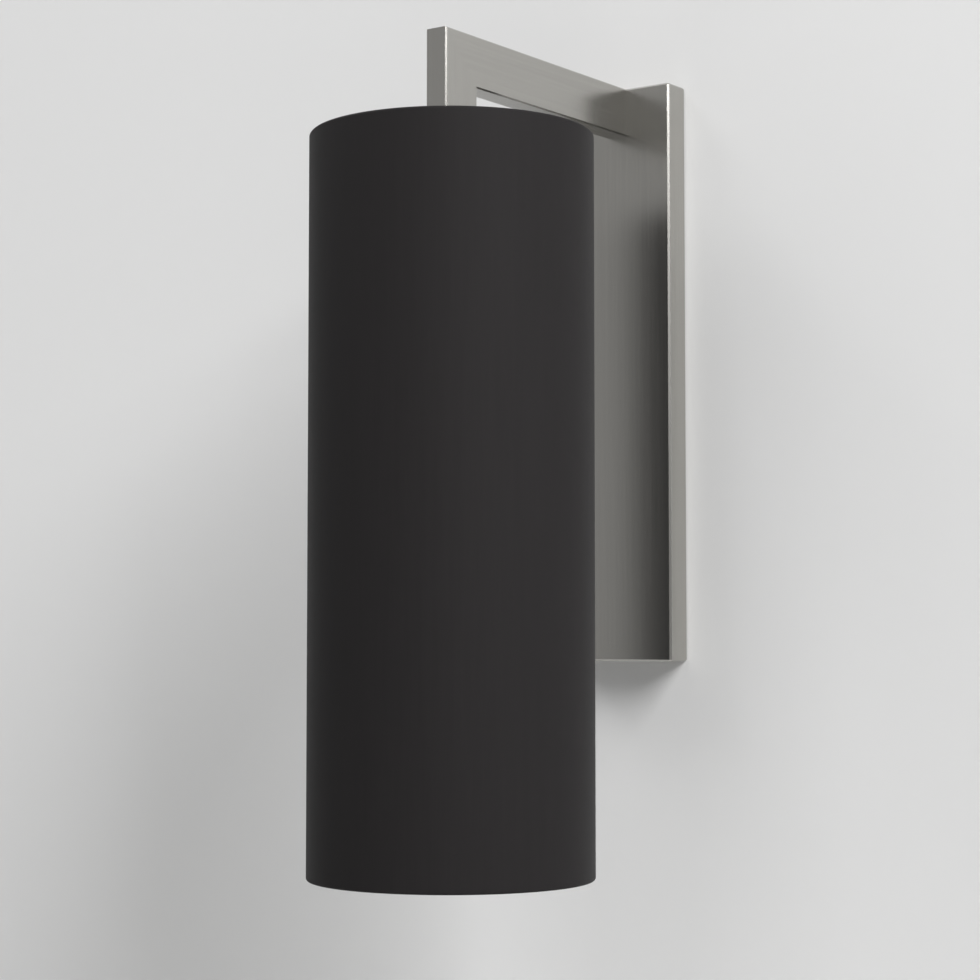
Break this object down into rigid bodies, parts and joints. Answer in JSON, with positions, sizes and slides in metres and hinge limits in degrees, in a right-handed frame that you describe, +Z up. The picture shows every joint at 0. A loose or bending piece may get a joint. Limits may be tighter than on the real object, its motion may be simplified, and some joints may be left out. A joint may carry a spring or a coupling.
{
  "type": "tube wall light",
  "caption": "Wall light with a slim upright wall plate, a right-angled flat arm and a tall black cylindrical fabric shade hung in front of the wall.",
  "frame": {"origin": "middle of the wall bracket's two fixing slots, on the wall plane", "axes": "+Z up, +Y into the wall so that the light stands out towards -Y, +X to the right of a viewer who faces the wall"},
  "size_m": [0.135, 0.2285, 0.4],
  "materials": {
    "brushed_nickel": "brushed satin nickel",
    "zinc_steel": "bright zinc",
    "screw_steel": "zinc",
    "brass": "plain",
    "tinned_copper": "tin",
    "black_cloth": "matt laminated cloth",
    "shade_liner": "satin white",
    "white_wire": "white powder coat",
    "black_plastic": "moulded satin",
    "white_plastic": "moulded satin",
    "beige_insulator": "matt moulded",
    "dark_rubber": "matt",
    "cap_metal": "bright",
    "opal": "opal satin",
    "brown_wire": "satin",
    "blue_wire": "satin",
    "green_yellow_wire": "satin"
  },
  "bodies": {
    "lamp_body": {"wall_bracket": "zinc_steel", "cable_grommet": "dark_rubber", "terminal_block": "white_plastic", "terminal_clamps": "brass", "terminal_screws": "screw_steel", "wall_plate_cover": "brushed_nickel", "cover_screws": "screw_steel", "arm_backing_plate": "zinc_steel", "arm_screws": "screw_steel", "earth_screw": "brass", "earth_tag": "tinned_copper", "arm": "brushed_nickel", "arm_wall_block": "zinc_steel", "leg_foot_block": "brushed_nickel", "nipple": "zinc_steel", "locknut": "zinc_steel", "holder_cap": "black_plastic", "holder_body": "black_plastic", "holder_insulator": "beige_insulator", "holder_terminals": "brass", "centre_contact": "brass", "side_contact": "brass", "live_wire": "brown_wire", "neutral_wire": "blue_wire", "earth_wire": "green_yellow_wire"},
    "shade": {"shade_fabric": "black_cloth", "shade_liner": "shade_liner", "shade_top_frame": "white_wire", "shade_bottom_hoop": "white_wire"},
    "shade_ring": {"shade_ring": "black_plastic"},
    "bulb": {"bulb_screw_cap": "cap_metal", "bulb_tip_insulator": "black_plastic", "bulb_tip_contact": "tinned_copper", "bulb_housing": "white_plastic", "bulb_globe": "opal"}
  },
  "joints": [
    {"name": "shade_drop", "type": "slide", "parent": "lamp_body", "child": "shade", "axis": [0, 0, -1], "range_m": [0, 0.008]},
    {"name": "ring_turn", "type": "hinge", "parent": "shade", "child": "shade_ring", "pos_m": [0, -0.161, 0.027], "axis": [0, 0, -1], "range_deg": [0, 1152]},
    {"name": "bulb_out", "type": "slide", "parent": "lamp_body", "child": "bulb", "axis": [0, 0, -1], "range_m": [0, 0.03]}
  ],
  "couplings": [
    {"joint": "ring_turn", "follows": "shade_drop", "rad_per_m": 2513.3}
  ]
}
